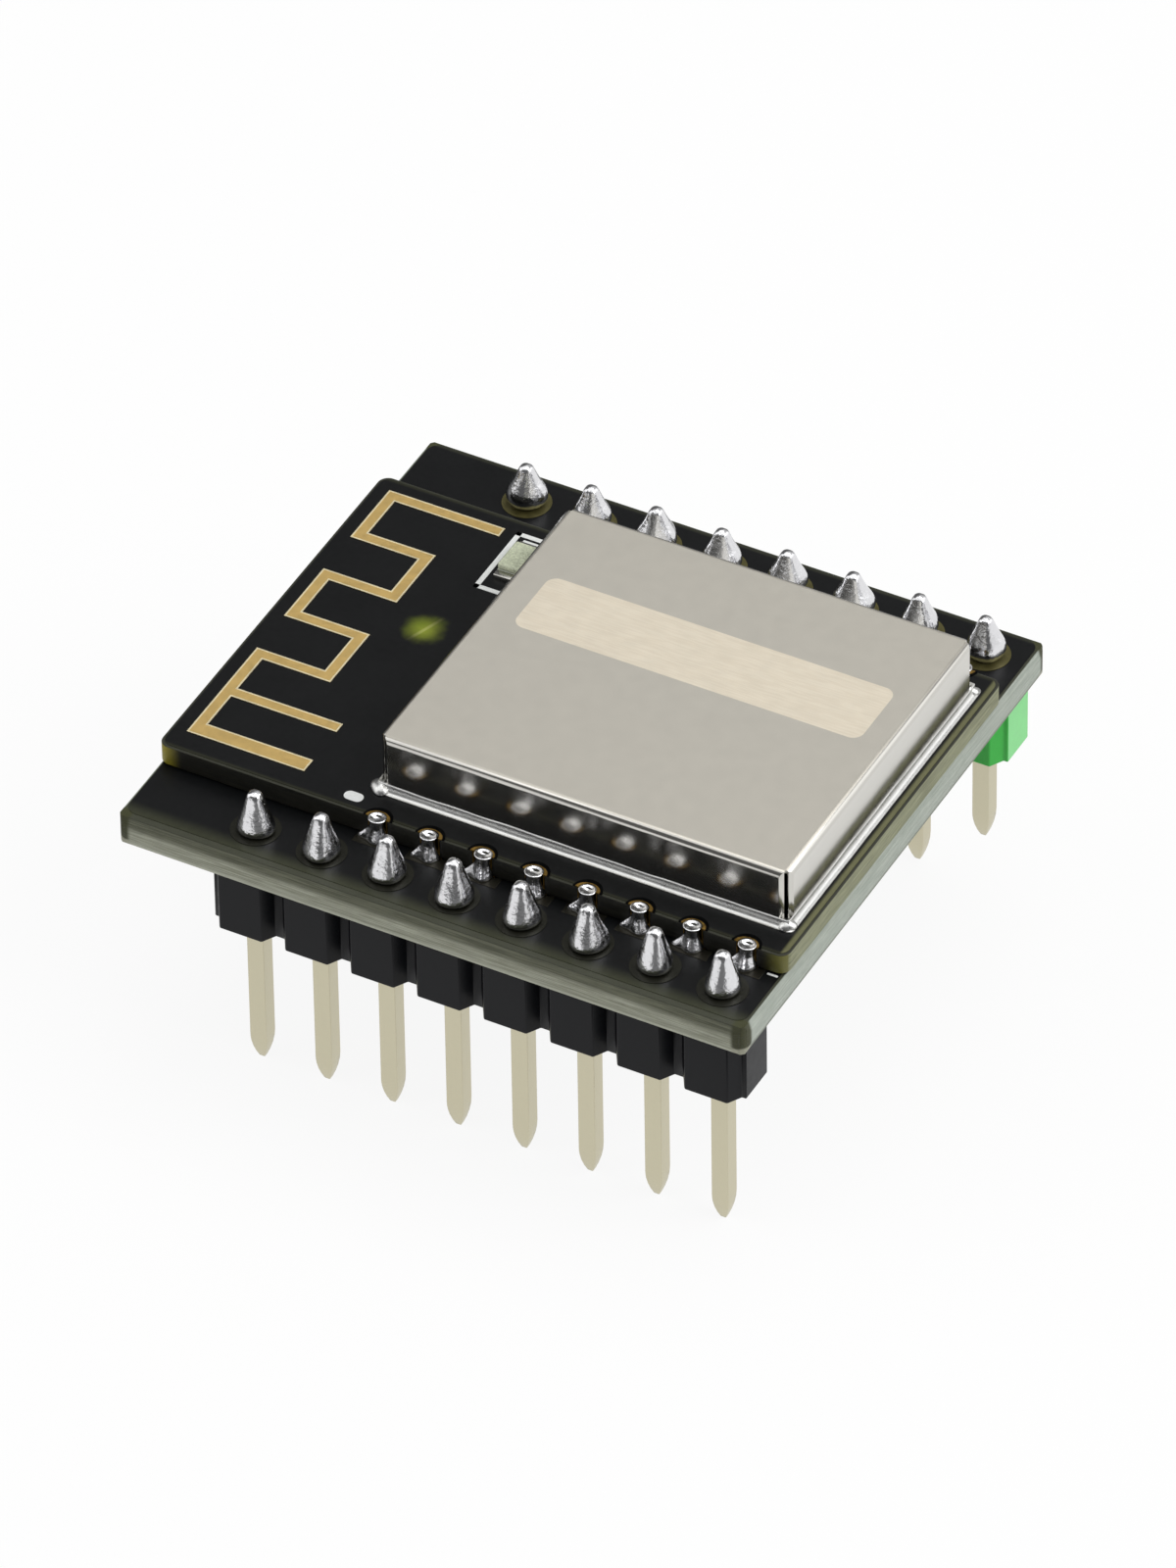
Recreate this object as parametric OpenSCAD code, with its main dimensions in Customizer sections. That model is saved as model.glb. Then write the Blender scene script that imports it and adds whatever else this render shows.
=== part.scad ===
// Radio module with castellated edges, soldered to a carrier board on two rows of header pins.
// Millimetres. +X runs along the header rows, +Y towards the rear row, +Z up.
// The origin is under the middle of the carrier board, level with the tips of the pins.

/* [Carrier board] */
// Length that the board reaches past each end of the module
end_overhang = 0; // [0:0.5:4]
// Distance from the header insulators to the edges of the board
edge_margin = 0.25; // [0:0.05:3]
// Thickness of the laminate
carrier_t = 1.2; // [0.8:0.1:2]
// Radius of the four corners
carrier_corner_r = 0.5; // [0.2:0.1:1]
// Depth of the score lines that the board was snapped along
score_depth = 0.35; // [0.1:0.05:0.35]
// Full angle of the score lines
score_angle = 30; // [20:5:60]
// Thickness of the copper and its finish, on both boards
foil_t = 0.04; // [0.03:0.01:0.07]
// Thickness of the plating inside a hole, on both boards
plating_t = 0.05; // [0.03:0.01:0.08]

/* [Pin headers] */
// Pins in a row
pins_per_row = 8; // [2:1:8]
// Distance between neighbouring pins
pitch = 2.54; // [2.3:0.02:2.7]
// Distance from the last pin to the right end of the carrier board
row_end = 1.61; // [1.3:0.01:3]
// Side of the square pin
pin_side = 0.64; // [0.5:0.02:0.7]
// Length of the pin above its insulator
pin_tail = 2.9; // [2.6:0.1:3.4]
// Length of the pin below its insulator
pin_reach = 6.4; // [5:0.1:9]
// Amount that the last rear pin is shorter than the others
short_pin_cut = 2.1; // [0:0.1:3]
// Length of the pointed end of a pin
pin_point_l = 1.1; // [0.5:0.1:1.5]
// Width that is left at the very end of a pin
pin_point_w = 0.2; // [0.04:0.02:0.3]
// Length of the taper at the soldered end of a pin
pin_taper_l = 1.1; // [0.8:0.1:1.4]
// Width that is left at the soldered end of a pin
pin_taper_w = 0.26; // [0.2:0.02:0.4]
// Height of the insulator
insulator_h = 2.54; // [1.5:0.02:3]
// Depth of the insulator across the row
insulator_w = 2.54; // [2:0.02:3]
// Width of the notch between two pins, at the face
notch_mouth = 0.92; // [0.6:0.02:1.2]
// Width of the notch at its bottom
notch_floor = 0.32; // [0.1:0.02:0.5]
// Depth of the notch
notch_depth = 0.5; // [0.2:0.05:0.6]

/* [Pin holes and solder] */
// Clearance between the corners of a pin and its plated hole
hole_clearance = 0.05; // [0.02:0.01:0.15]
// Width of the copper ring around a pin hole
ring_w = 0.33; // [0.2:0.01:0.45]
// Width of the copper ring that the solder leaves bare
ring_showing = 0.23; // [0.05:0.01:0.3]
// Thickness of the solder over the corners of a pin
solder_film = 0.066; // [0.04:0.002:0.12]
// Length of pin that stands out of the solder cone
pin_showing = 0.12; // [0.05:0.01:0.4]

/* [Module board] */
// Length along the header rows
module_l = 24; // [21.5:0.1:30]
// Width across the header rows
module_w = 16; // [14:0.1:20]
// Thickness of the laminate
module_t = 0.8; // [0.6:0.1:1.2]
// Radius of the four corners
module_corner_r = 0.4; // [0.1:0.1:0.8]
// Offset of the module from the middle of the carrier board, away from the rear row
module_shift = 0.2; // [0:0.05:0.4]

/* [Castellations] */
// Half holes along each edge
cast_count = 8; // [2:1:8]
// Distance between neighbouring half holes
cast_pitch = 2; // [1.7:0.1:2.3]
// Distance from the last half hole to the right end of the module
cast_margin = 1.5; // [1:0.1:2]
// Drilled diameter of a half hole
cast_d = 0.74; // [0.6:0.02:0.84]
// Width of the copper land beside a half hole
land_side = 0.18; // [0.1:0.01:0.25]
// Width of the copper land behind a half hole
land_back = 0.15; // [0.1:0.01:0.18]
// Width of the landing pad on the carrier board
pad_w = 1.48; // [1.2:0.02:1.6]
// Length of the landing pad outside the module
pad_out = 0.5; // [0.44:0.01:0.8]
// Gap between the landing pads and the rings of the pin holes
pad_gap = 0.1; // [0.05:0.01:1]
// Length of the landing pad in front of the solder foot
foot_inset = 0.02; // [0:0.01:0.05]

/* [Shield can] */
// Distance from the left end of the module to the can
antenna_zone = 7.8; // [7.4:0.1:9]
// Distance from the can to the right end of the module
can_end = 0.6; // [0.3:0.05:1]
// Distance from the can to the front edge of the module
can_front = 1.35; // [0.9:0.05:2]
// Distance from the can to the rear edge of the module
can_rear = 0.95; // [0.8:0.05:2]
// Height above the module
can_h = 2.34; // [2:0.02:3]
// Thickness of the sheet
sheet_t = 0.16; // [0.1:0.02:0.24]
// Inner radius of the bends
bend_r = 0.08; // [0.04:0.02:0.2]
// Depth of the slanting cut at both ends of each side wall
mitre = 0.13; // [0.04:0.01:0.14]
// Width of the ground land under the side walls
ground_w = 0.7; // [0.5:0.05:1]
// Width of the solder bead outside the side walls
bead_w = 0.22; // [0.1:0.02:0.24]
// Height of the solder bead
bead_h = 0.4; // [0.2:0.05:0.6]

/* [Antenna] */
// Distance from the left end of the module to the trace
antenna_left = 0.6; // [0.3:0.05:1]
// Distance from the front edge of the module to the feed arm
antenna_front = 0.98; // [0.5:0.02:1.4]
// Distance from the rear edge of the module to the last loop
antenna_rear = 0.66; // [0.4:0.02:1.2]
// Distance from the ends of the arms to the can
antenna_right = 2.66; // [2.2:0.02:3.4]
// Width of the trace
trace_w = 0.46; // [0.3:0.02:0.6]
// Width of the feed arm
feed_w = 0.64; // [0.4:0.02:0.8]
// Gap between the feed arm and the ground arm
arm_gap = 1.64; // [1.2:0.02:2]
// Gap between the ground arm and the first loop
loop_gap = 1.72; // [1.2:0.02:2]
// Reach of the loops to the right
loop_l = 3.1; // [2.4:0.02:3.5]

/* [Lamp beside the can] */
// Length
lamp_l = 2; // [1.6:0.1:2.4]
// Width
lamp_w = 1.1; // [0.8:0.05:1.4]
// Height
lamp_h = 0.45; // [0.4:0.05:1]
// Height of the base and its metal ends
lamp_base_h = 0.2; // [0.1:0.05:0.3]
// Length of a metal end
lamp_end = 0.3; // [0.2:0.05:0.5]
// Distance from the left wall of the can
lamp_gap = 0.7; // [0.5:0.05:1]
// Distance from the rear edge of the module
lamp_rear = 1.15; // [0.8:0.05:2]

/* [Parts under the can] */
// Clearance between the parts and the side walls
wall_gap = 0.75; // [0.4:0.05:1]
// Side of the radio chip
chip_side = 5; // [4:0.1:6]
// Height of the radio chip
chip_h = 0.85; // [0.6:0.05:1.2]
// Side of the body of the memory chip
flash_side = 5.2; // [4:0.1:5.8]
// Height of the memory chip
flash_h = 1.7; // [1:0.1:1.8]
// Height of the memory chip's body above the module
flash_standoff = 0.1; // [0.05:0.05:0.2]
// Reach of the memory chip's leads
lead_reach = 1.2; // [0.8:0.1:1.4]
// Width of a lead
lead_w = 0.4; // [0.3:0.02:0.5]
// Thickness of a lead
lead_t = 0.2; // [0.1:0.02:0.25]
// Distance between neighbouring leads
lead_pitch = 1.27; // [1:0.01:1.4]
// Length of the crystal
crystal_l = 3.2; // [2:0.1:3.5]
// Width of the crystal
crystal_w = 2.5; // [1.6:0.1:3]
// Height of the crystal
crystal_h = 0.75; // [0.5:0.05:1]
// Distance from the crystal's lid to the sides of its base
lid_inset = 0.2; // [0.1:0.05:0.4]
// Chip capacitors and resistors in the row
passive_count = 4; // [2:1:4]
// Distance between neighbouring chips of the row
passive_pitch = 1; // [0.7:0.05:1.2]
// Length of a chip
passive_l = 1; // [0.6:0.05:1.2]
// Width and height of a chip
passive_w = 0.5; // [0.3:0.05:0.6]
// Length of a metal end of a chip
passive_end = 0.25; // [0.1:0.05:0.28]

/* [Hidden] */
front = -1;
rear = 1;
eps = 0.01;

// Sizes that follow from the pieces they hold
pin_hole_d = pin_side * sqrt(2) + 2 * hole_clearance + 2 * plating_t;
pin_ring_d = pin_hole_d + 2 * ring_w;
row_gap = module_shift + pad_out + pad_gap + pin_ring_d / 2;
row_spacing = module_w + 2 * row_gap;
carrier_l = module_l + 2 * end_overhang;
carrier_w = row_spacing + insulator_w + 2 * edge_margin;
can_l = module_l - antenna_zone - can_end;
can_w = module_w - can_front - can_rear;
bend_outer = bend_r + sheet_t;
corner_cut = bend_outer + mitre;

// Heights, from the pin tips up
insulator_z = pin_reach;
carrier_z = insulator_z + insulator_h + foil_t;
carrier_top = carrier_z + carrier_t;
module_z = carrier_top + 2 * foil_t;
module_top = module_z + module_t;
can_z = module_top + foil_t;
can_top = module_top + can_h;
pin_top = insulator_z + insulator_h + pin_tail;

// Places in plan
module_y = -module_shift;
can_left = antenna_zone - module_l / 2;
can_x = can_left + can_l / 2;
can_y = module_y + (can_front - can_rear) / 2;
last_cast_x = module_l / 2 - cast_margin;
last_pin_x = carrier_l / 2 - row_end;
function pin_x(i) = last_pin_x - (pins_per_row - i) * pitch;
function pin_y(side) = side * row_spacing / 2;
function cast_x(i) = last_cast_x - (cast_count - i) * cast_pitch;
function module_edge(side) = module_y + side * module_w / 2;

// A rounded rectangle about the origin
module rounded_rect(l, w, r, fn = 48) {
    square([l - 2 * r, w], center = true);
    square([l, w - 2 * r], center = true);
    for (x = [-1, 1], y = [-1, 1])
        translate([x * (l / 2 - r), y * (w / 2 - r)])
            circle(r, $fn = fn);
}

// A block that stands on z = 0, centred in plan
module block(l, w, h) {
    translate([-l / 2, -w / 2, 0])
        cube([l, w, h]);
}

// Copies the children to the half holes of one edge, turned so that +Y points out of the module
module at_castellations(side, z) {
    for (i = [1:cast_count])
        translate([cast_x(i), module_edge(side), z])
            mirror([0, side == front ? 1 : 0, 0])
                children();
}

// Copies the children to the pins of one row
module at_pins(side, z) {
    for (i = [1:pins_per_row])
        translate([pin_x(i), pin_y(side), z])
            children();
}

// The edge of a scored and snapped board: a broken middle between two sloping score faces
module scored_profile(w, t) {
    slope = score_depth * tan(score_angle / 2);
    polygon([
        [-w / 2 + slope, 0], [w / 2 - slope, 0], [w / 2, score_depth],
        [w / 2, t - score_depth], [w / 2 - slope, t], [-w / 2 + slope, t],
        [-w / 2, t - score_depth], [-w / 2, score_depth]
    ]);
}

module carrier_board() {
    color([0.15, 0.16, 0.17])
        translate([0, 0, carrier_z])
            difference() {
                intersection() {
                    linear_extrude(carrier_t)
                        rounded_rect(carrier_l, carrier_w, carrier_corner_r);
                    rotate([90, 0, 0])
                        linear_extrude(2 * carrier_w, center = true)
                            scored_profile(carrier_l, carrier_t);
                    rotate([90, 0, 90])
                        linear_extrude(2 * carrier_l, center = true)
                            scored_profile(carrier_w, carrier_t);
                }
                for (side = [front, rear])
                    at_pins(side, -eps)
                        cylinder(d = pin_hole_d, h = carrier_t + 2 * eps, $fn = 48);
            }
}

// A plated barrel with a ring of copper on both faces of the carrier board
module hole_plating(side) {
    color([0.62, 0.60, 0.40])
        at_pins(side, carrier_z - foil_t)
            difference() {
                union() {
                    cylinder(d = pin_ring_d, h = foil_t, $fn = 48);
                    cylinder(d = pin_hole_d, h = carrier_t + 2 * foil_t, $fn = 48);
                    translate([0, 0, carrier_t + foil_t])
                        cylinder(d = pin_ring_d, h = foil_t, $fn = 48);
                }
                translate([0, 0, -eps])
                    cylinder(d = pin_hole_d - 2 * plating_t, h = carrier_t + 1, $fn = 48);
            }
}

// The copper land around a half hole
land_w = cast_d + 2 * land_side;
land_l = cast_d / 2 + land_back;

// Pads on the carrier board, half under the module and half in front of it
module landing_pads(side) {
    color([0.80, 0.78, 0.72])
        at_castellations(side, carrier_top)
            translate([-pad_w / 2, -land_l, 0])
                cube([pad_w, land_l + pad_out, foil_t]);
}

module module_board() {
    color([0.13, 0.14, 0.15])
        difference() {
            translate([0, module_y, module_z])
                linear_extrude(module_t)
                    rounded_rect(module_l, module_w, module_corner_r);
            for (side = [front, rear])
                at_castellations(side, module_z - eps)
                    cylinder(d = cast_d, h = module_t + 2 * eps, $fn = 48);
        }
}

// The outline of the copper around one half hole, up to the edge of the module
module castellation_land() {
    intersection() {
        translate([0, land_w / 2 - land_l])
            union() {
                circle(d = land_w, $fn = 48);
                translate([-land_w / 2, 0])
                    square([land_w, land_l]);
            }
        translate([-land_w / 2, -land_l])
            square([land_w, land_l]);
    }
}

// Copper lands on both faces of the module, joined by the plated half hole
module castellation_plating(side) {
    color([0.80, 0.66, 0.36])
        at_castellations(side, module_z - foil_t)
            difference() {
                union() {
                    linear_extrude(foil_t)
                        castellation_land();
                    translate([0, 0, foil_t + module_t])
                        linear_extrude(foil_t)
                            castellation_land();
                    intersection() {
                        cylinder(d = cast_d, h = module_t + 2 * foil_t, $fn = 48);
                        translate([-cast_d, -cast_d, 0])
                            cube([2 * cast_d, cast_d, module_t + 2 * foil_t]);
                    }
                }
                translate([0, 0, -eps])
                    cylinder(d = cast_d - 2 * plating_t, h = module_t + 1, $fn = 48);
            }
}

// Solder that fills one half hole, spreads into a foot and draws a tail along the pad
module castellation_solder(side) {
    core_r = cast_d / 2 - plating_t;
    fillet_h = module_t + foil_t;
    foot_reach = pad_out - foot_inset;
    tail_reach = pad_w / 2;
    flare = foot_reach - core_r;
    flare_r = (flare * flare + fillet_h * fillet_h) / (2 * flare);
    tail_r = tail_reach - core_r;
    color([0.86, 0.86, 0.88])
        at_castellations(side, carrier_top + foil_t) {
            cylinder(r = core_r, h = fillet_h + foil_t, $fn = 32);
            rotate_extrude(angle = 180, $fn = 32)
                difference() {
                    square([foot_reach, fillet_h]);
                    translate([core_r + flare_r, fillet_h])
                        circle(flare_r, $fn = 64);
                }
            intersection() {
                linear_extrude(fillet_h)
                    polygon([
                        [0, 0], [-core_r, 0], [-tail_reach, core_r / 2],
                        [-tail_reach, core_r], [-core_r, foot_reach], [0, foot_reach]
                    ]);
                rotate([90, 0, 180])
                    linear_extrude(foot_reach)
                        difference() {
                            square([tail_reach, fillet_h]);
                            translate([core_r + tail_r, tail_r + foil_t])
                                circle(tail_r, $fn = 64);
                            translate([core_r, foil_t + tail_r])
                                square([tail_r, fillet_h]);
                        }
            }
        }
}

// Inverted F: feed arm and ground arm from a spine, then loops up to the rear corner
module antenna_trace() {
    left = antenna_left - module_l / 2;
    arm_l = antenna_zone - antenna_left - antenna_right;
    feed_y = module_edge(front) + antenna_front;
    ground_y = feed_y + feed_w + arm_gap;
    first_run_y = ground_y + trace_w + loop_gap;
    last_run_y = module_edge(rear) - antenna_rear - trace_w;
    function run_y(i) = first_run_y + i * (last_run_y - first_run_y) / 4;
    color([0.80, 0.68, 0.40])
        translate([0, 0, module_top])
            linear_extrude(foil_t) {
                translate([left, feed_y])
                    square([arm_l, feed_w]);
                translate([left, ground_y])
                    square([arm_l, trace_w]);
                translate([left, feed_y])
                    square([trace_w, run_y(0) + trace_w - feed_y]);
                for (i = [0:4])
                    translate([left, run_y(i)])
                        square([i == 4 ? arm_l : loop_l, trace_w]);
                for (i = [0:3])
                    translate([i % 2 == 0 ? left + loop_l - trace_w : left, run_y(i)])
                        square([trace_w, run_y(i + 1) - run_y(i) + trace_w]);
            }
}

// A ring of copper on the module that the can is soldered to
module ground_land() {
    color([0.80, 0.66, 0.36])
        translate([can_x, can_y, module_top])
            linear_extrude(foil_t)
                difference() {
                    rounded_rect(can_l + 2 * bead_w, can_w + 2 * bead_w, bead_w);
                    square([can_l + 2 * bead_w - 2 * ground_w, can_w + 2 * bead_w - 2 * ground_w],
                        center = true);
                }
}

// Section of a side wall and its bend, with the outer face on x = 0
module wall_section() {
    wall_h = can_top - can_z - bend_outer;
    translate([-sheet_t, 0])
        square([sheet_t, wall_h]);
    translate([-bend_outer, wall_h])
        intersection() {
            difference() {
                circle(bend_outer, $fn = 64);
                circle(bend_r, $fn = 64);
            }
            square(bend_outer);
        }
}

// Copies the children to the corners of the can, which lies towards +X and +Y of each
module at_can_corners() {
    translate([can_x, can_y, can_z])
        for (x = [0, 1], y = [0, 1])
            mirror([x, 0, 0])
                mirror([0, y, 0])
                    translate([-can_l / 2, -can_w / 2, 0])
                        children();
}

// One sheet, stamped and folded: a flat top and four side walls, cut across at the corners
module shield_can() {
    flat_l = can_l - 2 * bend_outer;
    flat_w = can_w - 2 * bend_outer;
    color([0.74, 0.72, 0.68])
        difference() {
            translate([can_x, can_y, can_z]) {
                for (a = [0, 180]) {
                    rotate([0, 0, a])
                        translate([0, can_w / 2, 0])
                            rotate([90, 0, 90])
                                linear_extrude(flat_l, center = true)
                                    wall_section();
                    rotate([0, 0, a + 90])
                        translate([0, can_l / 2, 0])
                            rotate([90, 0, 90])
                                linear_extrude(flat_w, center = true)
                                    wall_section();
                }
                translate([0, 0, can_top - can_z - sheet_t])
                    linear_extrude(sheet_t)
                        square([flat_l, flat_w], center = true);
            }
            at_can_corners()
                linear_extrude(3 * can_h, center = true)
                    polygon([
                        [-corner_cut, -corner_cut], [2 * corner_cut, -corner_cut],
                        [-corner_cut, 2 * corner_cut]
                    ]);
        }
}

// A bead of solder that runs round the foot of the can
module shield_solder() {
    color([0.88, 0.88, 0.90]) {
        translate([can_x, can_y, can_z])
            for (a = [0, 180]) {
                rotate([0, 0, a])
                    translate([0, can_w / 2, 0])
                        rotate([90, 0, 90])
                            linear_extrude(can_l, center = true)
                                polygon([[0, 0], [bead_w, 0], [0, bead_h]]);
                rotate([0, 0, a + 90])
                    translate([0, can_l / 2, 0])
                        rotate([90, 0, 90])
                            linear_extrude(can_w, center = true)
                                polygon([[0, 0], [bead_w, 0], [0, bead_h]]);
            }
        at_can_corners()
            cylinder(r1 = bead_w, r2 = 0, h = bead_h, $fn = 32);
        at_can_corners()
            linear_extrude(bead_h / 2)
                polygon([
                    [0, 0], [corner_cut, 0], [bend_outer, mitre],
                    [bend_outer, bend_outer], [mitre, bend_outer], [0, corner_cut]
                ]);
    }
}

// Places on the module under the can
part_inset = sheet_t + wall_gap;
part_left = can_left + part_inset;
part_right = can_left + can_l - part_inset;
part_front = can_y - can_w / 2 + part_inset;
part_rear = can_y + can_w / 2 - part_inset;
chip_x = part_left + chip_side / 2;
chip_y = part_front + chip_side / 2;
flash_x = part_right - lead_reach - flash_side / 2;
flash_y = part_rear - flash_side / 2;
crystal_x = part_left + crystal_l / 2;
crystal_y = part_rear - crystal_w / 2;
passive_y = part_front + passive_l / 2;

// Flat leadless package
module radio_chip() {
    color([0.10, 0.10, 0.11])
        translate([chip_x, chip_y, module_top])
            block(chip_side, chip_side, chip_h);
}

// Gull-wing leads of the memory chip, four on each side
module flash_leads() {
    color([0.75, 0.75, 0.76])
        translate([flash_x, flash_y, module_top])
            for (side = [-1, 1], i = [-1.5:1:1.5])
                translate([side * flash_side / 2, i * lead_pitch, 0])
                    mirror([side < 0 ? 1 : 0, 0, 0])
                        translate([0, lead_w / 2, 0])
                            rotate([90, 0, 0])
                                linear_extrude(lead_w)
                                    polygon([
                                        [0, flash_h / 2], [0, flash_h / 2 - lead_t],
                                        [lead_reach / 4, flash_h / 2 - lead_t], [lead_reach / 2, 0],
                                        [lead_reach, 0], [lead_reach, lead_t],
                                        [lead_reach / 2 + lead_t, lead_t],
                                        [lead_reach / 4 + lead_t, flash_h / 2]
                                    ]);
}

module flash_chip() {
    color([0.10, 0.10, 0.11])
        translate([flash_x, flash_y, module_top + flash_standoff])
            block(flash_side, flash_side, flash_h - flash_standoff);
}

module crystal_base() {
    color([0.85, 0.80, 0.70])
        translate([crystal_x, crystal_y, module_top])
            block(crystal_l, crystal_w, crystal_h / 2);
}

module crystal_lid() {
    color([0.80, 0.80, 0.78])
        translate([crystal_x, crystal_y, module_top + crystal_h / 2])
            block(crystal_l - 2 * lid_inset, crystal_w - 2 * lid_inset, crystal_h / 2);
}

// Chip resistors and capacitors in a row along the front wall of the can
module at_passives() {
    for (i = [1:passive_count])
        translate([flash_x + (i - (passive_count + 1) / 2) * passive_pitch, passive_y, module_top])
            children();
}

module passive_bodies() {
    color([0.70, 0.62, 0.50])
        at_passives()
            block(passive_w, passive_l - 2 * passive_end, passive_w);
}

module passive_ends() {
    color([0.84, 0.84, 0.85])
        at_passives()
            for (y = [-1, 1])
                translate([0, y * (passive_l - passive_end) / 2, 0])
                    block(passive_w, passive_end, passive_w);
}

// Surface-mounted lamp beside the can: base, clear lens and two metal ends
lamp_x = can_left - lamp_gap - lamp_w / 2;
lamp_y = module_edge(rear) - lamp_rear - lamp_l / 2;

module lamp_base() {
    color([0.88, 0.88, 0.84])
        translate([lamp_x, lamp_y, module_top])
            block(lamp_w, lamp_l - 2 * lamp_end, lamp_base_h);
}

module lamp_lens() {
    color([0.90, 0.90, 0.82])
        translate([lamp_x, lamp_y, module_top + lamp_base_h])
            block(lamp_w, lamp_l - 2 * lamp_end, lamp_h - lamp_base_h);
}

module lamp_ends() {
    color([0.82, 0.80, 0.72])
        translate([lamp_x, lamp_y, module_top])
            for (y = [-1, 1])
                translate([0, y * (lamp_l - lamp_end) / 2, 0])
                    block(lamp_w, lamp_end, lamp_base_h);
}

// Half of a notch between two pins, or at the end of the row
module half_notch() {
    polygon([
        [-eps, insulator_w / 2 - notch_depth], [notch_floor / 2, insulator_w / 2 - notch_depth],
        [notch_mouth / 2, insulator_w / 2], [notch_mouth / 2, insulator_w],
        [-eps, insulator_w]
    ]);
}

// One moulded strip with an eight-sided unit for each pin
module header_insulator(side, tint) {
    color(tint)
        translate([0, pin_y(side), insulator_z])
            linear_extrude(insulator_h)
                for (i = [1:pins_per_row])
                    translate([pin_x(i), 0])
                        difference() {
                            square([pitch, insulator_w], center = true);
                            for (x = [0, 1], y = [0, 1])
                                mirror([x, 0])
                                    mirror([0, y])
                                        translate([-pitch / 2, 0])
                                            half_notch();
                            square(pin_side, center = true);
                        }
}

// Side view of a square pin with a rounded point below and a straight taper above
module pin_section(height) {
    half = pin_side / 2;
    drop = half - pin_point_w / 2;
    point_r = (pin_point_l * pin_point_l + drop * drop) / (2 * drop);
    polygon([
        [-half, pin_point_l], [half, pin_point_l], [half, height - pin_taper_l],
        [pin_taper_w / 2, height], [-pin_taper_w / 2, height], [-half, height - pin_taper_l]
    ]);
    intersection() {
        translate([-half, 0])
            square([pin_side, pin_point_l]);
        translate([half - point_r, pin_point_l])
            circle(point_r, $fn = 96);
        translate([point_r - half, pin_point_l])
            circle(point_r, $fn = 96);
    }
}

// A pin with its tip at the origin
module pin(height) {
    color([0.76, 0.73, 0.66])
        intersection() {
            rotate([90, 0, 0])
                linear_extrude(pin_side, center = true)
                    pin_section(height);
            rotate([90, 0, 90])
                linear_extrude(pin_side, center = true)
                    pin_section(height);
        }
}

module front_pin(i) {
    translate([pin_x(i), pin_y(front), 0])
        pin(pin_top);
}

module rear_pin(i) {
    cut = i == pins_per_row ? short_pin_cut : 0;
    translate([pin_x(i), pin_y(rear), cut])
        pin(pin_top - cut);
}

// Solder that fills the plated hole around each pin and rises into a cone
module pin_solder(side) {
    fill_r = pin_hole_d / 2 - plating_t;
    plug_h = carrier_t + 2 * foil_t;
    cone_h = pin_top - pin_showing - (carrier_top + foil_t);
    foot_r = pin_ring_d / 2 - ring_showing;
    top_r = pin_taper_w * sqrt(2) / 2 + solder_film;
    waist_side = pin_taper_w + (pin_side - pin_taper_w) * (cone_h / 2 + pin_showing) / pin_taper_l;
    waist_r = waist_side * sqrt(2) / 2 + solder_film;
    color([0.86, 0.86, 0.88])
        at_pins(side, carrier_z - foil_t)
            difference() {
                rotate_extrude($fn = 48)
                    polygon([
                        [0, 0], [fill_r, 0], [fill_r, plug_h], [foot_r, plug_h],
                        [foot_r - foil_t / 2, plug_h + cone_h / 8],
                        [waist_r, plug_h + cone_h / 2],
                        [top_r, plug_h + cone_h], [0, plug_h + cone_h]
                    ]);
                translate([0, 0, foil_t - carrier_z])
                    pin(pin_top);
            }
}

carrier_board();
hole_plating(front);  // hole_plating_front
hole_plating(rear);  // hole_plating_rear
landing_pads(front);  // landing_pads_front
landing_pads(rear);  // landing_pads_rear
module_board();
castellation_plating(front);  // castellation_plating_front
castellation_plating(rear);  // castellation_plating_rear
castellation_solder(front);  // castellation_solder_front
castellation_solder(rear);  // castellation_solder_rear
antenna_trace();
ground_land();
shield_can();
shield_solder();
radio_chip();
flash_chip();
flash_leads();
crystal_base();
crystal_lid();
passive_bodies();
passive_ends();
lamp_base();
lamp_lens();
lamp_ends();
header_insulator(front, [0.13, 0.14, 0.15]);  // header_insulator_front
header_insulator(rear, [0.33, 0.71, 0.35]);  // header_insulator_rear
pin_solder(front);  // pin_solder_front
pin_solder(rear);  // pin_solder_rear
for (i = [1:pins_per_row])
    front_pin(i);
for (i = [1:pins_per_row])
    rear_pin(i);
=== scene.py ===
import math
import random

import bmesh
import bpy
from mathutils import Matrix, Vector, noise


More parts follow.
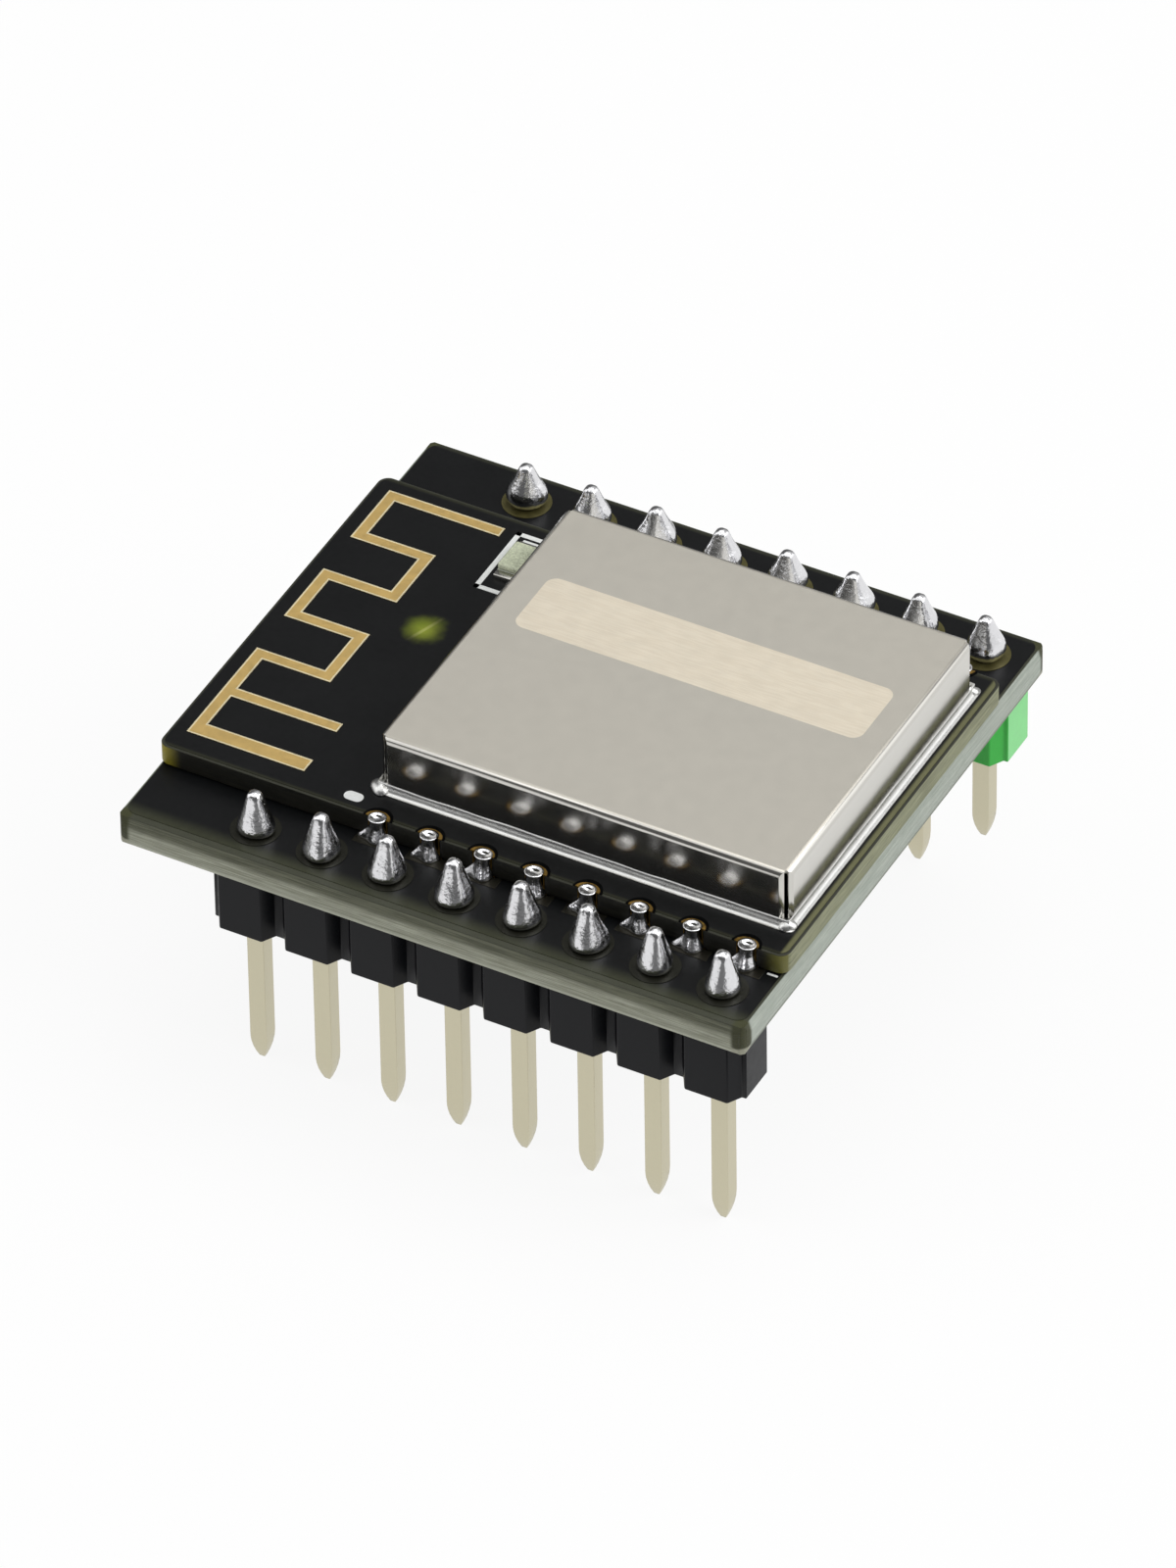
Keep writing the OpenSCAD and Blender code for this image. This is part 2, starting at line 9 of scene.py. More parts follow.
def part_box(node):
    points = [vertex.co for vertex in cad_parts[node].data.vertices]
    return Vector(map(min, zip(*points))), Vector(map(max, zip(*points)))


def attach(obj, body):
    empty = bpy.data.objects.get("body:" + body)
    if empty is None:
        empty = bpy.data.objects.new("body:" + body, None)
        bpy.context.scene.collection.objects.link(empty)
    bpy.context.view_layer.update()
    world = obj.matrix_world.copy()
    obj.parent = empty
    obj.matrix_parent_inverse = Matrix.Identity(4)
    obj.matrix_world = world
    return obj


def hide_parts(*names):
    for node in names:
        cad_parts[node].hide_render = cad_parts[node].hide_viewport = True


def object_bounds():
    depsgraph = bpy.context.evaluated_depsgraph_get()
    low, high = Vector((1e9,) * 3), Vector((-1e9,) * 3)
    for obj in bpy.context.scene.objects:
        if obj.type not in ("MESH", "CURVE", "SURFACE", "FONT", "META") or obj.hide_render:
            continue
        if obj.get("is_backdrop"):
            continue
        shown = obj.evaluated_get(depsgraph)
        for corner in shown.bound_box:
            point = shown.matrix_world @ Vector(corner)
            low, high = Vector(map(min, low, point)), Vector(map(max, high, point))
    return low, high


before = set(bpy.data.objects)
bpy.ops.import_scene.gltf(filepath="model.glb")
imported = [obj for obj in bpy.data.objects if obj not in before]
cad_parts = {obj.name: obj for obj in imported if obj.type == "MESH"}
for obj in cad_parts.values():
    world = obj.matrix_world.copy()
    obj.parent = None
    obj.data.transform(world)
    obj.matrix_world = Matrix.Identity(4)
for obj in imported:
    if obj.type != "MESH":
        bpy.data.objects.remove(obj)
cad_low, cad_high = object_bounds()
MM = 0.001


# ---- Studio ----
# A pale floor under the pin tips, soft light from the right and above, and a long lens
# that looks down on the module from its front right corner.
FLOOR_SIDE = 3.0
FLOOR_WHITE = 0.9
FLOOR_GLOW = 0.9
LAMP_REACH = 0.5
CAMERA_PLACE = Vector((185.430, -339.777, 342.545)) * MM
CAMERA_AZIMUTH = math.radians(28.6071)
CAMERA_ELEVATION = math.radians(40.863)
CAMERA_ROLL = math.radians(-0.9006)
LENS = 344.66


def rgb(red, green, blue):
    """A colour as a shader wants it, from the 0 to 255 values of a paint chart."""
    parts = [c / 255 for c in (red, green, blue)]
    return [c / 12.92 if c <= 0.04045 else ((c + 0.055) / 1.055) ** 2.4 for c in parts] + [1.0]


def add(tree, kind, inputs=(), **settings):
    """Adds a shader node. inputs are (socket, value or socket to link) pairs."""
    made = tree.nodes.new("ShaderNode" + kind)
    for name, value in settings.items():
        setattr(made, name, value)
    for name, value in inputs:
        if isinstance(value, bpy.types.NodeSocket):
            tree.links.new(value, made.inputs[name])
        else:
            made.inputs[name].default_value = value
    return made


def maths(tree, operation, *values, **settings):
    """What a Math node makes of its values, as a socket."""
    return add(tree, "Math", list(enumerate(values)), operation=operation, **settings).outputs[0]


def vectors(tree, operation, *values, output="Vector"):
    """What a VectorMath node makes of its values, as a socket."""
    return add(tree, "VectorMath", list(enumerate(values)), operation=operation).outputs[output]


def point(tree):
    """The point that is being shaded, in the object's own axes and in metres."""
    return add(tree, "TexCoord").outputs["Object"]


def ramp(tree, value, start, end, low=0.0, high=1.0):
    """A smooth step of a value, from start to end."""
    return add(tree, "MapRange", [("Value", value), ("From Min", start), ("From Max", end), ("To Min", low),
                                  ("To Max", high)], interpolation_type="SMOOTHSTEP").outputs[0]


def mesh_object(name, vertices, faces, smooth=True):
    """A new object from lists of corners and faces, in metres."""
    mesh = bpy.data.meshes.new(name)
    mesh.from_pydata([tuple(v) for v in vertices], [], faces)
    mesh.update()
    for face in mesh.polygons:
        face.use_smooth = smooth
    made = bpy.data.objects.new(name, mesh)
    bpy.context.scene.collection.objects.link(made)
    return made


back = Vector((
    math.sin(CAMERA_AZIMUTH) * math.cos(CAMERA_ELEVATION),
    -math.cos(CAMERA_AZIMUTH) * math.cos(CAMERA_ELEVATION),
    math.sin(CAMERA_ELEVATION),
))
level = Vector((math.cos(CAMERA_AZIMUTH), math.sin(CAMERA_AZIMUTH), 0))
upright = back.cross(level)
side_axis = level * math.cos(CAMERA_ROLL) + upright * math.sin(CAMERA_ROLL)
up_axis = upright * math.cos(CAMERA_ROLL) - level * math.sin(CAMERA_ROLL)
camera_data = bpy.data.cameras.new("camera")
camera_data.sensor_width = 36
camera_data.lens = LENS
camera_data.clip_start = 0.05
camera_data.clip_end = 10
camera = bpy.data.objects.new("camera", camera_data)
bpy.context.scene.collection.objects.link(camera)
camera.matrix_world = Matrix.Translation(CAMERA_PLACE) @ Matrix(
    (side_axis, up_axis, back)
).transposed().to_4x4()
bpy.context.scene.camera = camera
bpy.context.scene.view_settings.view_transform = "Standard"

half = FLOOR_SIDE / 2
floor = mesh_object(
    "floor", [(-half, -half, 0), (half, -half, 0), (half, half, 0), (-half, half, 0)], [(0, 1, 2, 3)]
)
floor_paint = bpy.data.materials.new("floor_paint")
floor_paint.use_nodes = True
tree = floor_paint.node_tree
tree.nodes.remove(tree.nodes["Principled BSDF"])
path = add(tree, "LightPath")
seen = maths(tree, "MAXIMUM", path.outputs["Is Camera Ray"], path.outputs["Is Glossy Ray"])
seen = maths(tree, "MAXIMUM", seen, path.outputs["Is Transmission Ray"])
share = maths(tree, "MULTIPLY", seen, FLOOR_GLOW)
paint = add(tree, "BsdfDiffuse", [("Color", (FLOOR_WHITE, FLOOR_WHITE, FLOOR_WHITE, 1))])

# Bright metal mirrors the floor. For such rays alone it is dark in two sectors in front of the
# module, from a little way off, so that the drops of solder show dark between their lights.
DARK_FROM = 0.022
DARK_FULL = 0.034
DARK_FLOOR = 0.12
spot = add(tree, "SeparateXYZ", [(0, point(tree))])
ahead = maths(tree, "MULTIPLY", spot.outputs["Y"], -1.0)
turn = maths(tree, "ARCTAN2", spot.outputs["X"], ahead)


def sector(start, end):
    """A soft step of the azimuth, in degrees, from 0 at start to 1 at end."""
    return ramp(tree, turn, math.radians(start), math.radians(end))


middle = maths(tree, "MULTIPLY", sector(0, 12), sector(56, 44))
wedge = maths(tree, "MAXIMUM", middle, sector(-40, -58))
distance = vectors(tree, "LENGTH", point(tree), output="Value")
wedge = maths(tree, "MULTIPLY", wedge, ramp(tree, distance, DARK_FROM, DARK_FULL))
shaded = maths(tree, "MULTIPLY", wedge, path.outputs["Is Glossy Ray"])
gleam = add(tree, "MapRange", [("Value", shaded), ("To Min", 1.0), ("To Max", DARK_FLOOR)]).outputs[0]
glow = add(tree, "Emission", [("Color", (1, 1, 1, 1)), ("Strength", gleam)])
mixed = add(tree, "MixShader", [(0, share), (1, paint.outputs[0]), (2, glow.outputs[0])])
tree.links.new(mixed.outputs[0], tree.nodes["Material Output"].inputs["Surface"])
floor.data.materials.append(floor_paint)
floor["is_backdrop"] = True

world = bpy.data.worlds.new("studio")
bpy.context.scene.world = world
world.use_nodes = True
tree = world.node_tree
tree.nodes.clear()
path = add(tree, "LightPath")
place = add(tree, "TexCoord").outputs["Generated"]
# What the bright metal mirrors: panels as (azimuth, elevation, inner and outer angle, strength),
# with azimuth 0 in front of the module and 90 at its right.
PANELS = [
    (0, 90, 28, 46, 0.95),
    (150, 42, 30, 52, 0.38),
    (128, 18, 14, 30, 0.9),
    (-72, 14, 16, 34, 1.0),
    (-29, 6, 4, 10, 0.8),
    (88, 12, 12, 28, 0.7),
]
DIM = 0.12
EVEN_SKY = 0.5
total = add(tree, "Value").outputs[0]
total.default_value = DIM
for azimuth, elevation, inner, outer, strength in PANELS:
    around, above = math.radians(azimuth), math.radians(elevation)
    centre = (math.sin(around) * math.cos(above), -math.cos(around) * math.cos(above), math.sin(above))
    facing = vectors(tree, "DOT_PRODUCT", place, centre, output="Value")
    panel = ramp(tree, facing, math.cos(math.radians(outer)), math.cos(math.radians(inner)), high=strength)
    total = maths(tree, "ADD", total, panel)
soft = add(tree, "Mix", [("Factor", path.outputs["Is Diffuse Ray"]), ("A", total), ("B", EVEN_SKY)])
strength = maths(tree, "MAXIMUM", soft.outputs["Result"], path.outputs["Is Camera Ray"])
sky = add(tree, "Background", [("Color", (1, 1, 1, 1)), ("Strength", strength)])
output = add(tree, "OutputWorld")
tree.links.new(sky.outputs[0], output.inputs["Surface"])


def soft_lamp(name, azimuth, elevation, power, size):
    """A square lamp aimed at the module. Azimuth 0 stands in front of it."""
    around, above = math.radians(azimuth), math.radians(elevation)
    away = Vector((
        math.sin(around) * math.cos(above), -math.cos(around) * math.cos(above), math.sin(above)
    ))
    data = bpy.data.lights.new(name, "AREA")
    data.shape = "SQUARE"
    data.size = size
    data.energy = power
    lamp = bpy.data.objects.new(name, data)
    bpy.context.scene.collection.objects.link(lamp)
    lamp.location = away * LAMP_REACH + Vector((0, 0, cad_high.z))
    lamp.rotation_euler = away.to_track_quat("Z", "Y").to_euler()


soft_lamp("key_lamp", azimuth=100, elevation=40, power=1.1, size=0.35)
soft_lamp("fill_lamp", azimuth=-60, elevation=45, power=0.35, size=0.35)
soft_lamp("top_lamp", azimuth=170, elevation=75, power=0.5, size=0.3)


# ---- Carrier board ----
# A square of glass-epoxy laminate under a film of black solder mask, scored, snapped out of
# its panel and left raw at the edges. The film stops a little short of the edges.
def shader_group(name, inputs, outputs):
    """A node group with named sockets, given as (name, kind, default) and (name, kind)."""
    group = bpy.data.node_groups.new(name, "ShaderNodeTree")
    for label, kind, default in inputs:
        socket = group.interface.new_socket(label, in_out="INPUT", socket_type="NodeSocket" + kind)
        socket.default_value = default
    for label, kind in outputs:
        group.interface.new_socket(label, in_out="OUTPUT", socket_type="NodeSocket" + kind)
    return group, group.nodes.new("NodeGroupInput"), group.nodes.new("NodeGroupOutput")


PER_MM = (1 / MM, 1 / MM, 1 / MM)


def wear_group():
    """Blotches, fine specks and tiny bumps, which every finish here has in some measure."""
    group, given, result = shader_group(
        "surface_wear",
        [("Colour", "Color", (0.5, 0.5, 0.5, 1)), ("Spread", "Float", 0.1), ("Scale", "Float", 2.0),
         ("Roughness", "Float", 0.4), ("Roughness spread", "Float", 0.1)],
        [("Colour", "Color"), ("Roughness", "Float"), ("Height", "Float")],
    )
    scaled = vectors(group, "MULTIPLY", point(group), PER_MM)
    broad = add(group, "TexNoise", [("Vector", scaled), ("Scale", given.outputs["Scale"]), ("Detail", 4)])
    fine_scale = maths(group, "MULTIPLY", given.outputs["Scale"], 9.0)
    fine = add(group, "TexNoise", [("Vector", scaled), ("Scale", fine_scale), ("Detail", 2)])
    both = maths(group, "ADD", broad.outputs["Fac"], fine.outputs["Fac"])
    swing = add(group, "MapRange", [("Value", both), ("From Min", 0.6), ("From Max", 1.4),
                                    ("To Min", -1.0), ("To Max", 1.0)]).outputs[0]
    lift = maths(group, "MULTIPLY_ADD", swing, given.outputs["Spread"], 1.0)
    tint = add(group, "VectorMath", [(0, given.outputs["Colour"])], operation="SCALE")
    group.links.new(lift, tint.inputs["Scale"])
    rough = maths(group, "MULTIPLY_ADD", swing, given.outputs["Roughness spread"], given.outputs["Roughness"],
                  use_clamp=True)
    group.links.new(tint.outputs[0], result.inputs["Colour"])
    group.links.new(rough, result.inputs["Roughness"])
    group.links.new(fine.outputs["Fac"], result.inputs["Height"])
    return group


WEAR = wear_group()


def finish(name, colour, spread=0.1, scale=2.0, roughness=0.4, rough_spread=0.08, metallic=0.0,
           bump=0.1, depth=0.005, specular=0.5, colour_from=None, height_from=None, roughness_from=None):
    """A material: worn colour and roughness on a Principled shader, with a fine bump.
    The functions in the _from arguments add nodes and return the socket to use."""
    material = bpy.data.materials.new(name)
    material.use_nodes = True
    tree = material.node_tree
    shader = tree.nodes["Principled BSDF"]
    wear = add(tree, "Group", node_tree=WEAR)
    wear.inputs["Colour"].default_value = colour
    wear.inputs["Spread"].default_value = spread
    wear.inputs["Scale"].default_value = scale
    wear.inputs["Roughness"].default_value = roughness
    wear.inputs["Roughness spread"].default_value = rough_spread
    if colour_from:
        tree.links.new(colour_from(tree), wear.inputs["Colour"])
    if roughness_from:
        tree.links.new(roughness_from(tree), wear.inputs["Roughness"])
    height = height_from(tree) if height_from else wear.outputs["Height"]
    bumps = add(tree, "Bump", [("Strength", bump), ("Distance", depth * MM), ("Height", height)])
    tree.links.new(wear.outputs["Colour"], shader.inputs["Base Color"])
    tree.links.new(wear.outputs["Roughness"], shader.inputs["Roughness"])
    tree.links.new(bumps.outputs["Normal"], shader.inputs["Normal"])
    shader.inputs["Metallic"].default_value = metallic
    shader.inputs["Specular IOR Level"].default_value = specular
    return material


def board_group():
    """Where a point lies on a board, in millimetres: how far in from the ends and from the long
    sides, and how high above the underside."""
    group, given, result = shader_group(
        "board_place",
        [("Low corner", "Vector", (0, 0, 0)), ("High corner", "Vector", (0, 0, 0))],
        [("From ends", "Float"), ("From sides", "Float"), ("Height", "Float")],
    )
    where = point(group)
    above = vectors(group, "SUBTRACT", where, given.outputs["Low corner"])
    below = vectors(group, "SUBTRACT", given.outputs["High corner"], where)
    least = vectors(group, "MINIMUM", above, below)
    inset = add(group, "SeparateXYZ", [(0, vectors(group, "MULTIPLY", least, PER_MM))])
    rise = add(group, "SeparateXYZ", [(0, vectors(group, "MULTIPLY", above, PER_MM))])
    group.links.new(inset.outputs["X"], result.inputs["From ends"])
    group.links.new(inset.outputs["Y"], result.inputs["From sides"])
    group.links.new(rise.outputs["Z"], result.inputs["Height"])
    return group


BOARD_PLACE = board_group()


def board_place(tree, node):
    """The board_place group, set to the corners of a board's node."""
    low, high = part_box(node)
    return add(tree, "Group", [("Low corner", low), ("High corner", high)], node_tree=BOARD_PLACE)


def blend(tree, share, first, second):
    """Two colours mixed by a share, each a colour or a socket."""
    mix = add(tree, "Mix", data_type="RGBA")
    tree.links.new(share, mix.inputs["Factor"])
    for name, value in (("A", first), ("B", second)):
        socket = next(s for s in mix.inputs if s.name == name and s.type == "RGBA")
        if isinstance(value, bpy.types.NodeSocket):
            tree.links.new(value, socket)
        else:
            socket.default_value = value
    return next(s for s in mix.outputs if s.type == "RGBA")


def glass_layers(tree, along=0.6, across=26.0):
    """Streaks of glass cloth along a cut edge, as a socket from 0 to 1."""
    flat = vectors(tree, "MULTIPLY", point(tree), (along / MM, along / MM, across / MM))
    streaks = add(tree, "TexNoise", [("Vector", flat), ("Scale", 1.0), ("Detail", 3), ("Roughness", 0.65)])
    return ramp(tree, streaks.outputs["Fac"], 0.35, 0.65)


def carrier_edge(tree):
    """Khaki broken middle with streaks of glass; above it the score face, painted dark as the shade on its
    slope, and below it a pale lower arris painted as a highlight. The ends are painted paler, partly their
    routed finish and partly the stronger light from the right.
    The steps are heights above the underside and distances from the ends, in millimetres."""
    spot = board_place(tree, "carrier_board")
    height = spot.outputs["Height"]
    streaks = glass_layers(tree)
    middle = blend(tree, streaks, rgb(122, 124, 106), rgb(160, 162, 146))
    # The dark upper band is painted shade on the slope of the score face.
    score_face_shade = blend(tree, streaks, rgb(72, 74, 58), rgb(98, 100, 82))
    middle_and_score_shade = blend(tree, ramp(tree, height, 0.62, 0.95), middle, score_face_shade)
    # The pale lower arris is a painted highlight.
    arris = blend(tree, ramp(tree, height, 0.22, 0.06), middle_and_score_shade, rgb(170, 172, 156))
    top = blend(tree, ramp(tree, height, 1.14, 1.19), arris, rgb(54, 56, 42))
    # The ends are painted paler: partly their routed finish, partly the stronger light from the right.
    routed_and_lit_end = blend(tree, streaks, rgb(148, 156, 146), rgb(172, 178, 168))
    foot = blend(tree, ramp(tree, height, 0.30, 0.10), routed_and_lit_end, rgb(120, 126, 112))
    sides = blend(tree, ramp(tree, spot.outputs["From ends"], 0.14, 0.10), top, foot)
    # At the rounded corners: dark olive above, and pale at the foot where the painted arris highlight runs
    # on.
    corner = maths(tree, "MAXIMUM", spot.outputs["From ends"], spot.outputs["From sides"])
    dark = blend(tree, ramp(tree, height, 0.18, 0.30), rgb(150, 150, 132), rgb(52, 54, 24))
    return blend(tree, ramp(tree, corner, 0.60, 0.42), sides, dark)


CARRIER_RAW = finish("carrier_laminate_raw", rgb(120, 120, 104), spread=0.10, scale=3.0, roughness=0.55,
                     rough_spread=0.08, bump=0.5, depth=0.02, specular=0.4,
                     colour_from=carrier_edge, height_from=glass_layers)


WELD_REACH = 1e-7
FLAT_ANGLE = 0.01
ARRIS_ANGLE = 0.6


def dress(node, material, soften=0.0):
    """Gives a CAD node its material and, where soften is set in mm, a radius on its arrises."""
    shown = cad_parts[node]
    for place in shown.material_slots:
        place.material = material
    if soften:
        weld = shown.modifiers.new("weld", "WELD")
        weld.merge_threshold = WELD_REACH
        planar = shown.modifiers.new("planar", "DECIMATE")
        planar.decimate_type = "DISSOLVE"
        planar.angle_limit = FLAT_ANGLE
        arris = shown.modifiers.new("arris", "BEVEL")
        arris.width = soften * MM
        arris.segments = 2
        arris.limit_method = "ANGLE"
        arris.angle_limit = ARRIS_ANGLE
        shown.modifiers.new("even_shading", "WEIGHTED_NORMAL")
    return shown


dress("carrier_board", CARRIER_RAW, 0.03)


def film(name, low, high, z, thickness, radius, material, slot_name, steps=8):
    """A thin film with rounded corners, from corner low to corner high in plan."""
    outline = []
    for i, (sx, sy) in enumerate([(1, 1), (-1, 1), (-1, -1), (1, -1)]):
        cx = (high[0] - radius) if sx > 0 else (low[0] + radius)
        cy = (high[1] - radius) if sy > 0 else (low[1] + radius)
        for k in range(steps + 1):
            turn = math.pi / 2 * (i + k / steps)
            outline.append((cx + radius * math.cos(turn), cy + radius * math.sin(turn)))
    count = len(outline)
    vertices = [(x, y, z + t) for t in (0, thickness) for x, y in outline]
    faces = [tuple(reversed(range(count))), tuple(range(count, 2 * count))]
    faces += [(i, (i + 1) % count, count + (i + 1) % count, count + i) for i in range(count)]
    made = mesh_object(name, vertices, faces, smooth=False)
    made.data.materials.append(material)
    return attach(made, "root")


MASK_T = 0.02 * MM
MASK_CORNER_R = 0.45 * MM
MASK_BLACK = rgb(12, 13, 14)
MASK_INSET_FRONT = 0.34 * MM
MASK_INSET_REAR = 0.16 * MM
MASK_INSET_LEFT = 0.17 * MM
MASK_INSET_RIGHT = 0.22 * MM


def carrier_mask_colour(tree):
    """Black, thinning to olive where the film runs out at the front and, less, at the rear."""
    low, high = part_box("carrier_board")
    y = add(tree, "SeparateXYZ", [(0, point(tree))]).outputs["Y"]
    rear = blend(tree, ramp(tree, y, high.y - 0.34 * MM, high.y - 0.20 * MM), MASK_BLACK, rgb(44, 45, 36))
    return blend(tree, ramp(tree, y, low.y + 1.0 * MM, low.y + 0.33 * MM), rear, rgb(54, 56, 42))


CARRIER_MASK = finish("carrier_mask_black", MASK_BLACK, spread=0.10, scale=0.6, roughness=0.34,
                      rough_spread=0.06, bump=0.25, depth=0.01, specular=0.2,
                      colour_from=carrier_mask_colour)
low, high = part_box("carrier_board")
mask_low = (low.x + MASK_INSET_LEFT, low.y + MASK_INSET_FRONT)
mask_high = (high.x - MASK_INSET_RIGHT, high.y - MASK_INSET_REAR)
carrier_mask_top = high.z + MASK_T
for side, z in (("top", high.z), ("bottom", low.z - MASK_T)):
    film("carrier_mask_" + side, mask_low, mask_high, z, MASK_T, MASK_CORNER_R, CARRIER_MASK,
         "carrier_laminate")


# ---- Plated pin holes and landing pads ----
# Copper rings with a thin gold finish and tinned pads that the module's half holes are soldered
# to. Both are etched from the carrier's copper. The pads are dulled by flux round the joints; the rings
# are painted dark with the shade under the drops of solder, darkest in the front row.
# Ring colours by row: painted shade from the drops of solder that stand on them.
RING_SHADE_COLOURS = {"front": rgb(30, 30, 21), "rear": rgb(90, 85, 48)}
PAD = finish("pad_fluxed", rgb(46, 44, 36), spread=0.2, scale=5.0, roughness=0.36, rough_spread=0.10,
             metallic=0.7, bump=0.3)
TINNED = finish("tinned_copper", rgb(196, 194, 188), spread=0.08, scale=5.0, roughness=0.24,
                rough_spread=0.08, metallic=1.0, bump=0.3)
for row, colour in RING_SHADE_COLOURS.items():
    ring = finish("ring_painted_shade_" + row, colour, spread=0.25, scale=4.0, roughness=0.42,
                  rough_spread=0.12, metallic=0.6, bump=0.3)
    dress("hole_plating_" + row, ring)
    dress("landing_pads_" + row, PAD, 0.01)


# ---- Module board ----
# A thinner board of the same laminate. The light that comes through its raw edge near the corners,
# where it glows yellow, and through one spot beside the can that the inner copper leaves clear, is
# painted into its colour.
def module_edge(tree):
    """Dark olive along the long sides, with a painted yellow glow of light coming through them close to
    their ends, and khaki at the ends of the board.
    The steps are distances from the ends and heights above the underside, in millimetres."""
    spot = board_place(tree, "module_board")
    streaks = glass_layers(tree, along=0.8, across=20.0)
    dark = blend(tree, streaks, rgb(13, 13, 9), rgb(28, 27, 19))
    east = add(tree, "SeparateXYZ", [(0, point(tree))]).outputs["X"]
    # Painted glow: the yellow of light coming through the raw edge near the ends.
    lit = blend(tree, ramp(tree, east, -1 * MM, 1 * MM), rgb(140, 130, 24), rgb(96, 94, 40))
    glow = blend(tree, ramp(tree, spot.outputs["From ends"], 0.95, 0.15), dark, lit)
    khaki = blend(tree, streaks, rgb(104, 106, 76), rgb(134, 137, 106))
    sides = blend(tree, ramp(tree, spot.outputs["From ends"], 0.05, 0.02), glow, khaki)
    return blend(tree, ramp(tree, spot.outputs["Height"], 0.76, 0.79), sides, rgb(40, 41, 29))


MODULE_RAW = finish("module_laminate_raw", rgb(90, 90, 60), spread=0.12, scale=3.0, roughness=0.5,
                    rough_spread=0.08, bump=0.5, depth=0.02, specular=0.4, colour_from=module_edge)
dress("module_board", MODULE_RAW, 0.03)

# The clear spot, painted with the glow of light coming through it: its middle, its radius, how ragged
# # its edge is, and the way its track runs.
GLOW_X = -6.78 * MM
GLOW_FROM_FRONT = 9.35 * MM
GLOW_R = 1.2 * MM
GLOW_CORE_R = 0.35 * MM
GLOW_RAGGED = 0.6 * MM
TRACK_ACROSS = (0.94, -0.34)


def module_mask_colour(tree):
    """Black, olive at the rim, and one clear spot painted with the green glow of light coming through it,
    paler along a fine track.
    """
    spot = board_place(tree, "module_board")
    low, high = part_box("module_board")
    east = add(tree, "SeparateXYZ", [(0, point(tree))]).outputs["X"]
    end = ramp(tree, east, high.x - 0.34 * MM, high.x - 0.20 * MM)
    sides = blend(tree, ramp(tree, spot.outputs["From sides"], 0.26, 0.12), MASK_BLACK, rgb(40, 41, 30))
    base = blend(tree, end, sides, rgb(104, 104, 74))
    where = point(tree)
    centre = Vector((GLOW_X, low.y + GLOW_FROM_FRONT, high.z))
    away = vectors(tree, "DISTANCE", where, centre, output="Value")
    ragged = add(tree, "TexNoise", [("Vector", where), ("Scale", 1.4 / MM), ("Detail", 2)]).outputs["Fac"]
    reach = maths(tree, "MULTIPLY_ADD", ragged, GLOW_RAGGED, away)
    # Painted glow of the light coming through the clear spot, paler along the track.
    lit = ramp(tree, reach, GLOW_R, GLOW_CORE_R)
    green = blend(tree, ragged, rgb(92, 112, 22), rgb(150, 158, 56))
    across = vectors(tree, "DOT_PRODUCT", where, (*TRACK_ACROSS, 0), output="Value")
    off = maths(tree, "SUBTRACT", across, TRACK_ACROSS[0] * centre.x + TRACK_ACROSS[1] * centre.y)
    off = maths(tree, "ABSOLUTE", off)
    green = blend(tree, ramp(tree, off, 0.09 * MM, 0.03 * MM), green, rgb(158, 164, 84))
    return blend(tree, lit, base, green)


MODULE_MASK = finish("module_mask_black", MASK_BLACK, spread=0.10, scale=0.6, roughness=0.34,
                     rough_spread=0.06, bump=0.25, depth=0.01, specular=0.2,
                     colour_from=module_mask_colour)
MODULE_MASK_INSET = 0.10 * MM
MODULE_MASK_CORNER_R = 0.36 * MM
module_low, module_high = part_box("module_board")
film("module_mask_top", (module_low.x + MODULE_MASK_INSET, module_low.y + MODULE_MASK_INSET),
     (module_high.x - MODULE_MASK_INSET, module_high.y - MODULE_MASK_INSET), module_high.z, MASK_T,
     MODULE_MASK_CORNER_R, MODULE_MASK, "module_laminate")


# ---- White ink and a painted highlight ----
# A printed frame round the lamp and a round patch near the module's front edge, screened in white
# over the mask, and a short white dash on the carrier by the module's front right corner, which is a
# painted highlight at the module's foot.
WHITE_INK_AND_HIGHLIGHT = finish("white_ink_and_highlight", rgb(226, 228, 226), spread=0.10, scale=6.0, roughness=0.6, rough_spread=0.08,
             bump=0.4, depth=0.01)
WHITE_MARK_T = 0.012 * MM
INK_W = 0.19 * MM
WHITE_MARK_CORNER_R = 0.03 * MM
WHITE_MARK_STEPS = 3
FRAME_GAP_LEFT = 0.40 * MM
FRAME_GAP_RIGHT = 0.24 * MM
FRAME_GAP_FRONT = 0.72 * MM
FRAME_GAP_REAR = 0.56 * MM
ROUND_MARK = ((-5.10 * MM, -7.80 * MM), (-4.40 * MM, -7.36 * MM))
ROUND_MARK_R = 0.21 * MM
# The short white dash at the module's foot is a painted highlight, not print.
CORNER_HIGHLIGHT_DASH = ((11.34 * MM, -8.34 * MM), (11.74 * MM, -8.25 * MM))
lamp_low, lamp_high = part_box("lamp_ends")
ink_base = module_high.z + MASK_T
left = lamp_low.x - FRAME_GAP_LEFT
right = lamp_high.x + FRAME_GAP_RIGHT
front = lamp_low.y - FRAME_GAP_FRONT
rear = lamp_high.y + FRAME_GAP_REAR
bars = [
    ((left, front), (left + INK_W, rear)),
    ((right - INK_W, front), (right, rear)),
    ((left, front), (right, front + INK_W)),
    ((left, rear - INK_W), (right, rear)),
    ((lamp_low.x, rear - 2.6 * INK_W), (lamp_high.x, rear - 1.6 * INK_W)),
]
for i, (start, end) in enumerate(bars):
    film(f"lamp_frame_ink_{i + 1}", start, end, ink_base, WHITE_MARK_T, WHITE_MARK_CORNER_R, WHITE_INK_AND_HIGHLIGHT, "module_laminate",
         WHITE_MARK_STEPS)
